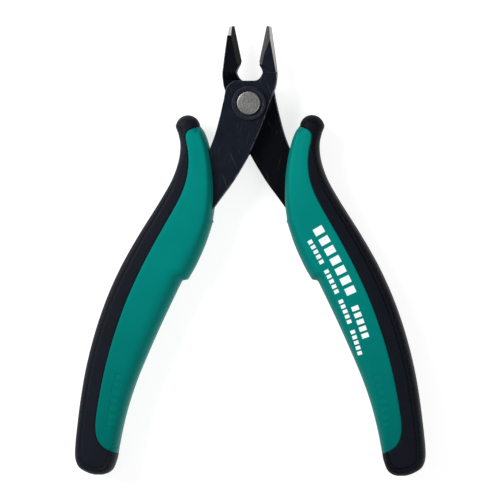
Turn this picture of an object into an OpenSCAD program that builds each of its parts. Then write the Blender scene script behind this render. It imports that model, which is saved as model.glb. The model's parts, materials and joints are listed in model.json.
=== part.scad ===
// Micro flush cutter, lying on its back: jaws towards +Y, handles towards -Y, thickness along Z.
// Each lever is drawn in its closed frame, where the cutting edges lie along X = 0 and the pivot
// is at the origin, and is then swung open by half the opening angle. The rear lever and its grip
// are the front ones turned half a turn about Y. The row's origin is at the centre of the box's
// bottom face.

/* [Overall] */
// Length of the closed tool, from the jaw tips to the grip ends
tool_length = 131; // [108:0.5:156]
// Pivot centre to the jaw tips
jaw_reach = 21.9; // [18:0.1:26.5]
// Angle between the cutting edges when the spring holds the tool open
open_angle = 23.4; // [19:0.1:28.2]
/* [Levers] */
// Thickness of each steel lever
plate_t = 3; // [2.4:0.1:3.6]
// Length of the cutting edge
edge_len = 9.9; // [8.2:0.1:11.9]
// Bevel of the cutting edge, away from upright
edge_bevel = 22; // [18:1:27]
// Slack between the two levers' mating faces
lap_gap = 0.04; // [0.02:0.01:0.1]
/* [Pivot] */
// Diameter of the rivet's shank
rivet_d = 5; // [4:0.1:6]
// Width of the rivet head's rim beyond the shank
head_lip = 0.7; // [0.5:0.05:0.9]
// Height of the rivet's head
head_h = 0.9; // [0.7:0.05:1.1]
// Width of washer that shows around the rivet's head
washer_show = 1.5; // [1:0.1:1.8]
// Thickness of the washers
washer_t = 0.5; // [0.4:0.05:0.6]
// Radial slack of a running fit
running_gap = 0.05; // [0.02:0.01:0.09]
/* [Spring] */
// Diameter of the spring's wire
wire_d = 0.75; // [0.6:0.01:0.9]
// Slack around the spring in its pocket
spring_gap = 0.3; // [0.2:0.05:0.4]
// Length of the spring's straight legs
leg_len = 7; // [5:0.5:8.5]
// Angle between a spring leg and the middle of the closed tool
leg_lean = 26; // [22:1:31]
/* [Grips] */
// Thickness of the grips
grip_t = 11; // [9:0.1:13.2]
// Corner radius along the outer side of the grips
outer_r = 3.2; // [2.2:0.1:4]
// Corner radius along the inner side of the grips
inner_r = 4.2; // [3:0.1:4.4]
// Diameter of the two holes that key the plastic to the steel
key_hole_d = 3; // [2:0.1:3.6]

/* [Hidden] */
$fn = 48;

swing = open_angle / 2;
far = 300;
drawn_handle = 109.2;  // handle reach at which the outlines' points are given
drawn_jaw = 21.9;      // jaw reach at which they are given
handle_k = (tool_length - jaw_reach) / drawn_handle;
jaw_k = jaw_reach / drawn_jaw;

// Lap joint and jaws
edge_gap = 0.02;                      // each cutting edge stops this short of the middle
edge_base = jaw_reach - edge_len;
jaw_z = plate_t / 2;                  // the jaws lie half a plate nearer the middle
lap_top = 6.35;                       // top edge of the lap, straight across when open
stop_gap = 0.3;                       // left between the lap's top edge and the other jaw's step
step_run = 2;                         // length of the sloping step between lap and jaw
step_shift = 0.5;                     // its upper edge starts this much further up the jaw
coin_step = 0.08;                     // the two faint steps coined in the lever's face
grind_from = edge_base - 0.9;         // where the grinding beside the cutting edge starts
front_lean = 0.85;                    // how far the front tip's ground outer wall leans in
front_tip_from = edge_base - 3.4;     // where that wall starts
rear_lean = 2.4;                      // how far the rear tip's wall leans in
rear_tip_len = 3.15;                  // length of the rear tip's ground wall
face_fall = 0.62;                     // slope of the front jaw's wide facet

// Pivot
rivet_r = rivet_d / 2;
bore_r = rivet_r + running_gap;
head_r = rivet_r + head_lip;
washer_r = head_r + washer_show;
seat_gap = 0.03;                      // slack between each washer and its lever
head_z = plate_t + seat_gap + washer_t;
rim_rise = 0.2;                       // how far a washer's rim stands above its seat

// Spring: it sits in a round pocket, half in each lever, with its legs in straight slots
coil_r = rivet_r + spring_gap * 2 + wire_d / 2;
pocket_r = coil_r + wire_d / 2 + spring_gap;
leg_z = wire_d * 0.65 + 0.16;
pocket_z = leg_z + wire_d / 2 + 0.08;
slot_w = wire_d + spring_gap;
wire_sides = 10;
coil_start = 180 + leg_lean;                      // where the front leg leaves the coil
coil_turn = 540 + 2 * leg_lean - open_angle;

// Corners of the lever's outline, and how its points follow the two reaches
function below(p) = [p[0], p[1] * handle_k];
function above(p) = [p[0], p[1] * jaw_k];
function throat(x, share) = [x, lap_top + share * (edge_base - lap_top)];
function turned(p, a) = [p[0] * cos(a) - p[1] * sin(a), p[0] * sin(a) + p[1] * cos(a)];

// A smooth curve through points, with n steps between neighbours
function curve_at(a, b, c, d, t) =
    0.5 * (2 * b + (c - a) * t + (2 * a - 5 * b + 4 * c - d) * t * t + (3 * b - a - 3 * c + d) * t * t * t);
function smooth(p, n) = [
    for (i = [0 : len(p) - 2], k = [0 : n - 1])
        curve_at(p[max(i - 1, 0)], p[i], p[i + 1], p[min(i + 2, len(p) - 1)], k / n),
    p[len(p) - 1]
];

function throat_line() = smooth([
    throat(edge_gap, 1), throat(0.45, 0.83), throat(1.2, 0.67), throat(1.75, 0.52),
    throat(1.87, 0.4), throat(1.5, 0.18), throat(0.8, 0.05), [0, lap_top]
], 3);
// The lap's top edge runs at the swing angle, so it lies straight across in the open tool
lap_corner = turned([-4.1, lap_top * cos(swing)], swing);
function outer_line() = smooth([
    lap_corner, [-5.7, 4.9], [-6.75, 3.6], [-7.1, 1.8], below([-7.05, -1]), below([-7.2, -6]),
    below([-7.5, -10.5]), below([-8.15, -14.5]), below([-9.4, -21]), below([-10.8, -29]),
    below([-13, -38]), below([-16.4, -49]), below([-19.3, -61]), below([-21.1, -73]), below([-21.6, -84])
], 3);
function tang_end() = smooth([
    below([-21.6, -84]), below([-21.2, -88]), below([-19.6, -89.6]), below([-18, -88]), below([-17.4, -84])
], 3);
function inner_line() = smooth([
    below([-17.4, -84]), below([-16, -73]), below([-13.5, -61.5]), below([-10.5, -51.5]),
    below([-7.8, -43]), below([-5.8, -36.5]), below([-4.35, -31.7]), below([-2.45, -27.3]),
    below([0.07, -21.8]), below([2.8, -13.9]), below([4, -8.7]), below([4.85, -4.5]),
    below([5.3, -1]), [5.6, 1.6], [5.95, 4.2], above([6.2, 6.4]), above([6, 8.6]),
    above([5.3, 10.9])
], 3);
function jaw_back() = [above([5.3, 10.9]), above([4.15, 14.3]), above([3.05, 17.4]), above([1.45, 21.9])];
function lever_outline() = concat(
    [[edge_gap, jaw_reach]], throat_line(), outer_line(), tang_end(), inner_line(), jaw_back()
);
tang_keys = [below([-13, -49]), below([-17.3, -67])];

// Two steps in the coined face, from the washer down to the lever's inner edge
function coin_line(a) = concat(
    smooth([for (p = a) below(p)], 4), [[far, -far], [far, far], [-far, far], [-far, 0]]
);
coin_lower = [[-9, -1], [-5.6, -4.5], [-4.4, -9.2], [-2.4, -13.4], [0.6, -18.2], [4, -22]];
coin_upper = [[-9, 0.5], [-4.2, -5.4], [-0.8, -11.6], [1.9, -15.1], [4, -17.5]];

// The grip is a loft between its outer and inner sides. Each station holds the outer point, the
// inner point and half the thickness, and the two lists meet at the small ledge on the inner side.
grip_h = grip_t / 2;
tang_gap = 0.05;                      // slack between the steel and the plastic around it
horn = [-15.5, -9.9];
horn_r = 3.35;
butt = [-22.3, -103.2];
butt_w = 5.8;
butt_len = 5.9;
upper_stations = [
    [-17.6, -12.3, -10.6, -10.5, 0.76], [-16.45, -15.2, -9, -13.3, 0.82], [-15.95, -19.5, -7, -18, 0.92],
    [-16.6, -24.8, -5.3, -23.4, 1], [-18.4, -30.5, -4.1, -29, 1], [-20.15, -35.2, -3.7, -34.8, 1],
    [-22.15, -40.5, -4.3, -40.5, 1], [-24.25, -46.6, -5.65, -46.6, 1], [-25.55, -51, -6.95, -50.9, 1]
];
lower_stations = [
    [-25.9, -52.4, -8.55, -52.3, 1], [-27.38, -58.5, -10.4, -58.6, 1], [-28.52, -65.5, -12.1, -65.6, 1],
    [-29.25, -73, -13.72, -73, 1], [-29.53, -81, -15.25, -80.8, 1], [-29.27, -89, -16.2, -88.4, 1],
    [-28.75, -96.5, -16.5, -95.6, 0.99]
];
// A rounded end: the stations close in on centre c plus len along dir, as a superellipse of power n
function end_station(c, dir, w, len, angle, n, h) =
    let (along = len * pow(cos(angle), 2 / n), side = w * pow(sin(angle), 2 / n),
         mid = c + along * dir, across = [dir[1], -dir[0]] * (dir[1] > 0 ? 1 : -1))
    [mid[0] - side * across[0], mid[1] - side * across[1],
     mid[0] + side * across[0], mid[1] + side * across[1], h * pow(sin(angle), 1 / n)];
horn_dir = [-0.15, 0.989];
butt_dir = [0.12, -0.993];
function horn_stations() = [
    for (a = [12, 32, 55, 88]) end_station(horn, horn_dir, horn_r, horn_r, a, 2, 0.72)
];
function butt_stations() = [
    for (a = [89, 62, 40, 22, 8]) end_station(butt, butt_dir, butt_w, butt_len, a, 3.3, 0.97)
];
function grip_stations() = concat(
    smooth(concat(horn_stations(), upper_stations), 2), smooth(concat(lower_stations, butt_stations()), 2)
);

// One ring of the loft: a rectangle whose corners are rounded, less on the outer side
corner_steps = 4;
function ring_corner(st, side, up) =
    let (o = below([st[0], st[1]]), i = below([st[2], st[3]]), half = norm(i - o) / 2,
         mid = (o + i) / 2, across = (i - o) / norm(i - o), h = min(st[4], 1) * grip_h,
         r = min(side > 0 ? inner_r : outer_r, half * 0.95, h * 0.95))
    [for (k = [0 : corner_steps])
        let (a = 90 * k / corner_steps, b = side * up > 0 ? a : 90 - a,
             u = side * (half - r + r * cos(b)), z = up * (h - r + r * sin(b)))
        [mid[0] + across[0] * u, mid[1] + across[1] * u, z]];
function ring(st) = concat(
    ring_corner(st, 1, -1), ring_corner(st, 1, 1), ring_corner(st, -1, 1), ring_corner(st, -1, -1)
);
function rings() = [for (st = grip_stations()) ring(st)];

// The seam between the green body and the black cushion
seam = [
    [-9.2, -7.2], [-12.1, -8.95], [-13.7, -9.85], [-14.9, -10.8], [-15.3, -12.1], [-14.8, -13.8],
    [-13.8, -16.2], [-12.9, -19.4], [-12.5, -23.5], [-13, -28], [-14.3, -32.7], [-15.9, -37.6],
    [-17.5, -42.5], [-19.7, -50], [-21.9, -59.5], [-23.3, -69], [-24, -78], [-24.05, -87],
    [-23.6, -94.6], [-22.5, -98.5], [-20.8, -100.5], [-18.6, -101.5], [-16, -101.9], [-11, -102]
];
function body_region() = concat([for (p = smooth(seam, 3)) below(p)], [below([10, -102]), below([10, -7.2])]);

// The row's origin: the middle of the open tool's box, on the surface that it lies on
function lowest(points) = min([for (p = points) turned(p, -swing)[1]]);
tip_y = turned([edge_gap, jaw_reach], -swing)[1];
butt_y = lowest([for (r = rings(), p = r) [p[0], p[1]]]);
pivot_at = [0, -(tip_y + butt_y) / 2, grip_h];

// Puts a piece drawn in the closed frame where the open tool has it
module on_front() {
    translate(pivot_at) rotate([0, 0, -swing]) children();
}
module on_rear() {
    translate(pivot_at) rotate([0, 0, swing]) rotate([0, 180, 0]) children();
}

// A prism that runs along the direction of the lap's top edge, drawn as length up the jaw and height
module across_lap(profile) {
    rotate([0, 0, swing]) rotate([90, 0, 90]) linear_extrude(2 * far, center = true) polygon(profile);
}

// Everything further up the jaw than a line straight across the open tool
module beyond(y) {
    across_lap([[y, -far], [y, far], [far, far], [far, -far]]);
}

// A prism from z = lo to z = hi
module slab(points, lo, hi) {
    translate([0, 0, lo]) linear_extrude(hi - lo) polygon(points);
}

// The flat steel strip, stepped between the lap and the jaw
module blank() {
    step_from = lap_top * cos(swing) + stop_gap;
    intersection() {
        slab(lever_outline(), -far, far);
        across_lap([
            [-far, lap_gap / 2], [step_from, lap_gap / 2], [step_from + step_run, jaw_z - plate_t],
            [far, jaw_z - plate_t], [far, jaw_z], [step_from + step_run + step_shift, jaw_z],
            [step_from + step_shift, plate_t], [-far, plate_t]
        ]);
    }
}

// What grinding takes off the jaw beside the cutting edge, which is left on the lower face
module edge_grind() {
    lean = tan(edge_bevel);
    translate([0, grind_from, 0]) rotate([90, 0, 180]) linear_extrude(far)
        polygon([
            [-edge_gap, -far], [-edge_gap, -jaw_z], [-edge_gap - (far + jaw_z) * lean, far],
            [far, far], [far, -far]
        ]);
}

// The wide facet of the front jaw: a plane that falls from the line a-b on the upper face
module face_grind(a, b) {
    direction = atan2(b[1] - a[1], b[0] - a[0]);
    intersection() {
        translate([a[0], a[1], jaw_z]) rotate([0, 0, direction]) rotate([90, 0, 90])
            linear_extrude(2 * far, center = true)
                polygon([[0, 0], [far, -face_fall * far], [far, far], [-far, far], [-far, 0]]);
        beyond(grind_from);
    }
}

// The ground outer wall of a tip: a plane that leans out from the line a-b on the upper face
module tip_grind(a, b, lean, from_y) {
    direction = atan2(b[1] - a[1], b[0] - a[0]);
    intersection() {
        translate([a[0], a[1], jaw_z]) rotate([0, 0, direction]) rotate([90, 0, 90])
            linear_extrude(2 * far, center = true) polygon([
                [0, 0], [-lean * 2, -plate_t * 2], [-far, -plate_t * 2], [-far, far], [far, far], [far, 0]
            ]);
        beyond(from_y);
    }
}

// Takes the two coined steps off the face below the pivot
module coin(points, step) {
    difference() {
        slab([[-far, -far], [far, -far], [far, 0], [-far, 0]], plate_t - step, far);
        slab(coin_line(points), -far, far);
    }
}

module lever() {
    difference() {
        blank();
        translate([0, 0, -far]) cylinder(h = 2 * far, r = bore_r);
        translate([0, 0, -1]) cylinder(h = 1 + pocket_z, r = pocket_r);
        rotate([0, 0, leg_lean]) translate([-coil_r - slot_w / 2, -leg_len - spring_gap, -1])
            cube([slot_w, leg_len + spring_gap, 1 + pocket_z]);
        for (k = tang_keys) translate([k[0], k[1], -far]) cylinder(h = 2 * far, r = key_hole_d / 2);
        coin(coin_lower, 2 * coin_step);
        coin(coin_upper, coin_step);
        children();
    }
}

module front_lever() {
    color([0.1, 0.11, 0.13]) on_front() lever() {
        edge_grind();
        face_grind(above([0.8, 11.6]), above([1.85, 17.65]));
        tip_grind(above([5.03, 10.9]), above([0.63, 21.9]), front_lean, front_tip_from);
    }
}
// The rear jaw is ground from its other face, so that both edges lie at the back of the tool
module rear_lever() {
    color([0.09, 0.1, 0.12]) on_rear() lever() {
        mirror([0, 0, 1]) edge_grind();
        mirror([0, 0, 1])
            tip_grind(above([1.7, 18.9]), above([-1.3, 21.9]), rear_lean, jaw_reach - rear_tip_len);
    }
}

module pivot_rivet() {
    color([0.62, 0.61, 0.65]) translate(pivot_at) {
        cylinder(h = 2 * head_z, r = rivet_r, center = true);
        for (up = [0, 180]) rotate([up, 0, 0]) translate([0, 0, head_z]) rotate_extrude() polygon([
            [0, 0], [head_r, 0], [head_r, head_h * 0.55], [head_r * 0.96, head_h * 0.8],
            [head_r * 0.86, head_h * 0.95], [head_r * 0.65, head_h], [0, head_h]
        ]);
    }
}

// A dished washer: its rim stands a little proud of the seat that the rivet's head presses on
module washer() {
    rotate_extrude() polygon([
        [bore_r, plate_t + seat_gap], [washer_r, plate_t + seat_gap],
        [washer_r, head_z + rim_rise / 2], [washer_r - rim_rise, head_z + rim_rise],
        [washer_r - washer_show * 0.4, head_z + rim_rise], [head_r + washer_show * 0.1, head_z],
        [bore_r, head_z]
    ]);
}
module front_washer() {
    color([0.08, 0.09, 0.11]) translate(pivot_at) washer();
}
module rear_washer() {
    color([0.08, 0.09, 0.11]) translate(pivot_at) rotate([0, 180, 0]) washer();
}

// One ring of the spring's wire about c; out points away from the coil's axis
function tube_ring(c, out, sides) = [
    for (k = [0 : sides - 1]) let (a = 360 * k / sides)
        [c[0] + out[0] * cos(a) * wire_d / 2, c[1] + out[1] * cos(a) * wire_d / 2, c[2] + sin(a) * wire_d / 2]
];
// Skin over a row of rings with the same number of points each
module loft(rows) {
    n = len(rows[0]);
    last = len(rows) - 1;
    polyhedron(
        points = [for (r = rows, p = r) p],
        faces = concat(
            [[for (k = [0 : n - 1]) k]],
            [for (i = [0 : last - 1], k = [0 : n - 1], s = [0, 1])
                let (a = i * n + k, b = i * n + (k + 1) % n)
                s == 0 ? [a, a + n, b + n] : [a, b + n, b]],
            [[for (k = [n - 1 : -1 : 0]) last * n + k]]
        )
    );
}

// The end of a leg that leaves the coil at an angle, on the side that run points to
function leg_end(angle, run, z) = tube_ring(
    [coil_r * cos(angle) + run * sin(angle) * leg_len, coil_r * sin(angle) - run * cos(angle) * leg_len, z],
    [cos(angle), sin(angle)], wire_sides
);
module return_spring() {
    start = coil_start - swing;
    steps = 40;
    coil = [for (i = [0 : steps]) let (a = start - coil_turn * i / steps, out = [cos(a), sin(a)])
        tube_ring([coil_r * out[0], coil_r * out[1], leg_z * (1 - 2 * i / steps)], out, wire_sides)];
    color([0.6, 0.6, 0.62]) translate(pivot_at) loft(concat(
        [leg_end(start, -1, leg_z)], coil, [leg_end(start - coil_turn, 1, -leg_z)]
    ));
}

// The room that the tang takes in the grip
module tang_room() {
    difference() {
        translate([0, 0, -tang_gap]) linear_extrude(plate_t + 2 * tang_gap)
            offset(delta = tang_gap) polygon(lever_outline());
        for (k = tang_keys) translate([k[0], k[1], -far])
            cylinder(h = 2 * far, r = key_hole_d / 2 - tang_gap);
    }
}
module grip_body() {
    difference() {
        intersection() {
            loft(rings());
            slab(body_region(), -far, far);
        }
        tang_room();
    }
}
module grip_cushion() {
    difference() {
        loft(rings());
        slab(body_region(), -far, far);
    }
}
module left_grip_body() {
    color([0.01, 0.48, 0.45]) on_front() grip_body();
}
module left_grip_cushion() {
    color([0.11, 0.12, 0.15]) on_front() grip_cushion();
}
module right_grip_body() {
    color([0.01, 0.48, 0.45]) on_rear() grip_body();
}
module right_grip_cushion() {
    color([0.11, 0.12, 0.15]) on_rear() grip_cushion();
}

front_lever();
rear_lever();
pivot_rivet();
front_washer();
rear_washer();
return_spring();
left_grip_body();
left_grip_cushion();
right_grip_body();
right_grip_cushion();
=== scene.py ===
"""The looks of a small flush cutter: blackened levers on a rivet, a hidden spring and two-colour grips."""

import json
import logging
import math
from dataclasses import dataclass, replace
from enum import Enum
from typing import Any, Mapping, Optional, Sequence, Union

import bmesh
import bpy
import numpy as np
from mathutils import Matrix, Vector


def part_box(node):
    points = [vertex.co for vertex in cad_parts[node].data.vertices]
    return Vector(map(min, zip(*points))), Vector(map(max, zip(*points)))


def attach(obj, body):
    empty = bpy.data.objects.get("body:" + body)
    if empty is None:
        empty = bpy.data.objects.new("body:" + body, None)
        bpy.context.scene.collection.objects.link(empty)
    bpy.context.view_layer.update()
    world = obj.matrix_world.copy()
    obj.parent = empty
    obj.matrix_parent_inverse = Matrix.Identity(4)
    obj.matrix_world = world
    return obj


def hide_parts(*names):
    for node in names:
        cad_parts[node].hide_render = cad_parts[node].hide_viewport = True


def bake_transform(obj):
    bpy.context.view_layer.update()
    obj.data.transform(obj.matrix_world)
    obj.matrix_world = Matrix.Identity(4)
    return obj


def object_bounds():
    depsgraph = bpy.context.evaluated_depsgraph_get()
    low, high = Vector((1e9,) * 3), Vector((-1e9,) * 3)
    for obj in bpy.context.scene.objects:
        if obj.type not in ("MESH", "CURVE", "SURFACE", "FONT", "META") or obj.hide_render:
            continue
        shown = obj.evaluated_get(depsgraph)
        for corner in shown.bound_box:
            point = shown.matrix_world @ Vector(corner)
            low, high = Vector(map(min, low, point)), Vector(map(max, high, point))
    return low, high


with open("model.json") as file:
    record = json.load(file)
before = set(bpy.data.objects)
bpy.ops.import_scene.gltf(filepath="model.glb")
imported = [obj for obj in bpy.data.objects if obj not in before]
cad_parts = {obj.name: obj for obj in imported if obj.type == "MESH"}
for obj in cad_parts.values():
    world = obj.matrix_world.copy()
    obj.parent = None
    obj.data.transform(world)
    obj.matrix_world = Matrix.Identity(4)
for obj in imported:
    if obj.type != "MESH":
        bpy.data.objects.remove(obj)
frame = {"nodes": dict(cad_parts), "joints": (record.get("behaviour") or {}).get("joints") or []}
CAD_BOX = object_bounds()

LOG = logging.getLogger("flush_cutter")
MM = 0.001
JOINED = 2e-6  # points of a new piece that are nearer than this, in metres, are one point
COLLAPSED = 1e-7  # an edge of a new piece that is shorter than this, in metres, is removed
MAP_MM = 100  # millimetres to one unit of the map that places the printed blocks
TINY = 1e-12  # keeps a length of nothing from dividing by zero
UP = Vector((0, 0, 1))
TIPWARD = Vector((0, 1, 0))

Point = tuple[float, float]
Profile = tuple[Point, ...]
Colour = tuple[float, float, float, float]
Numbers = Union[float, np.ndarray]
WHITE: Colour = (1, 1, 1, 1)


class Side(Enum):
    """Which half of the tool: the left grip's lever lies in front at the rivet."""

    LEFT = "left"
    RIGHT = "right"

    @property
    def body(self) -> str:
        """The body that this half moves with."""
        return "front_half" if self is Side.LEFT else "rear_half"

    @property
    def lever(self) -> str:
        """The node of this half's lever."""
        return "front_lever" if self is Side.LEFT else "rear_lever"


@dataclass(frozen=True)
class Hinge:
    """The rivet's centre, and how far each half stands open from the closed tool's middle line."""

    centre: Vector
    swing: float

    @classmethod
    def of_frame(cls) -> "Hinge":
        """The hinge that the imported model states."""
        joint = frame["joints"][0]
        return cls(Vector(joint["pos_m"]), math.radians(joint["range_deg"][1]) / 2)

    def turn(self, side: Side) -> Matrix:
        """Rotation that opens a half drawn in the closed tool, as the left one.

        Args:
            side: Which half; the right one is the left one turned over first.

        Returns:
            The rotation.
        """
        if side is Side.LEFT:
            return Matrix.Rotation(-self.swing, 3, "Z")
        return Matrix.Rotation(self.swing, 3, "Z") @ Matrix.Rotation(math.pi, 3, "Y")

    def place(self, points: np.ndarray, side: Side) -> np.ndarray:
        """Points of the closed tool, in millimetres from the rivet, put into the open tool, in metres."""
        return points * MM @ np.array(self.turn(side)).T + np.array(self.centre)

    def draw(self, points: np.ndarray, side: Side) -> np.ndarray:
        """The opposite of place: from the open tool, in metres, to the closed one, in millimetres."""
        return (points - np.array(self.centre)) @ np.array(self.turn(side)) / MM


HINGE = Hinge.of_frame()


# ---------------------------------------------------------------- curves


def smooth_curve(points: Sequence[Point], steps: int = 12) -> np.ndarray:
    """A Catmull-Rom curve through points.

    Args:
        points: The points, in order.
        steps: Stretches between neighbours.

    Returns:
        Rows of x and y.
    """
    p = np.array(points, float)
    ends = np.vstack([2 * p[0] - p[1], p, 2 * p[-1] - p[-2]])
    a, b, c, d = ends[:-3, None], ends[1:-2, None], ends[2:-1, None], ends[3:, None]
    t = (np.arange(steps) / steps)[None, :, None]
    bend = 2 * b + (c - a) * t + (2 * a - 5 * b + 4 * c - d) * t**2 + (3 * b - a - 3 * c + d) * t**3
    return np.vstack([(bend / 2).reshape(-1, 2), p[-1:]])


def arc(centre: Point, radius: float, start: float, end: float, steps: int = 12) -> list[Point]:
    """Points along an arc, from one angle to another, in degrees."""
    angles = np.radians(np.linspace(start, end, steps + 1))
    return [(centre[0] + radius * math.cos(a), centre[1] + radius * math.sin(a)) for a in angles]


def lengths_along(curve: np.ndarray) -> np.ndarray:
    """Length from a curve's start to each of its points."""
    return np.concatenate([[0], np.cumsum(np.linalg.norm(np.diff(curve, axis=0), axis=1))])


def length_at(curve: np.ndarray, point: Point) -> float:
    """Length along a curve at which it passes nearest to a point."""
    return float(lengths_along(curve)[np.argmin(np.linalg.norm(curve - np.array(point), axis=1))])


def at_lengths(curve: np.ndarray, lengths: np.ndarray) -> np.ndarray:
    """Points on a curve at some lengths from its start."""
    known = lengths_along(curve)
    return np.stack([np.interp(lengths, known, curve[:, k]) for k in (0, 1)], axis=1)


def nearest_on(points: np.ndarray, curve: np.ndarray) -> tuple[np.ndarray, np.ndarray]:
    """The place on a curve that is nearest to each point.

    Args:
        points: Rows of x and y.
        curve: Rows of x and y along the curve.

    Returns:
        The distance to that place, and its length along the curve.
    """
    start, run = curve[:-1], np.diff(curve, axis=0)
    offset = points[:, None] - start[None]
    share = np.clip((offset * run).sum(2) / np.maximum((run**2).sum(1), TINY), 0, 1)
    away = np.linalg.norm(offset - share[..., None] * run[None], axis=2)
    best = away.argmin(1)
    rows = np.arange(len(points))
    along = lengths_along(curve)[best] + share[rows, best] * np.linalg.norm(run, axis=1)[best]
    return away[rows, best], along


def distance_to(points: np.ndarray, curve: np.ndarray) -> np.ndarray:
    """Distance from each point to a curve."""
    return nearest_on(points, curve)[0]


def ease(value: np.ndarray, low: float, high: float) -> np.ndarray:
    """A soft step from 0 at low to 1 at high."""
    t = np.clip((value - low) / (high - low), 0, 1)
    return t * t * (3 - 2 * t)


def value_at(down: np.ndarray, profile: Profile) -> np.ndarray:
    """A size that changes down the grip, from the places where it is given."""
    places, values = zip(*profile)
    return np.interp(down, places, values)


def round_over(distance: np.ndarray, width: Numbers, depth: Numbers) -> np.ndarray:
    """How far a surface has dropped near an edge that is rounded over, to a depth over a width."""
    t = np.clip(1 - distance / width, 0, 1)
    return depth * (1 - np.sqrt(1 - t * t))


# ---------------------------------------------------------------- finishes


class Shade:
    """A value on its way through a finish's nodes, so that its maths is written as expressions."""

    def __init__(self, sheet: "Sheet", socket: bpy.types.NodeSocket) -> None:
        """Wraps the output socket of one of the sheet's nodes."""
        self.sheet = sheet
        self.socket = socket

    def _math(self, operation: str, first: "Input", second: "Input") -> "Shade":
        """A Math node on two values."""
        return self.sheet.node("ShaderNodeMath", {"operation": operation}, {0: first, 1: second})

    def __add__(self, other: "Input") -> "Shade":
        """self + other"""
        return self._math("ADD", self, other)

    def __radd__(self, other: "Input") -> "Shade":
        """other + self"""
        return self._math("ADD", other, self)

    def __sub__(self, other: "Input") -> "Shade":
        """self - other"""
        return self._math("SUBTRACT", self, other)

    def __rsub__(self, other: "Input") -> "Shade":
        """other - self"""
        return self._math("SUBTRACT", other, self)

    def __mul__(self, other: "Input") -> "Shade":
        """self * other"""
        return self._math("MULTIPLY", self, other)

    def __rmul__(self, other: "Input") -> "Shade":
        """other * self"""
        return self._math("MULTIPLY", other, self)

    def __mod__(self, other: "Input") -> "Shade":
        """What is left of self after whole times other, never negative"""
        return self._math("FLOORED_MODULO", self, other)

    def __abs__(self) -> "Shade":
        """The value without its sign"""
        return self._math("ABSOLUTE", self, 0.0)

    def above(self, limit: float, blur: float) -> "Shade":
        """A mask that is 1 where the value is above a limit.

        Args:
            limit: The limit.
            blur: How far on each side of it the mask takes to change.

        Returns:
            The mask.
        """
        return self.sheet.node(
            "ShaderNodeMapRange",
            {"interpolation_type": "SMOOTHSTEP"},
            {"Value": self, "From Min": limit - blur, "From Max": limit + blur},
        )

    def below(self, limit: float, blur: float) -> "Shade":
        """A mask that is 1 where the value is below a limit."""
        return 1 - self.above(limit, blur)

    def between(self, low: float, high: float, blur: float) -> "Shade":
        """A mask that is 1 where the value is between two limits."""
        return self.above(low, blur) * self.below(high, blur)


Input = Union[Shade, float, Sequence[float]]


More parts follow.
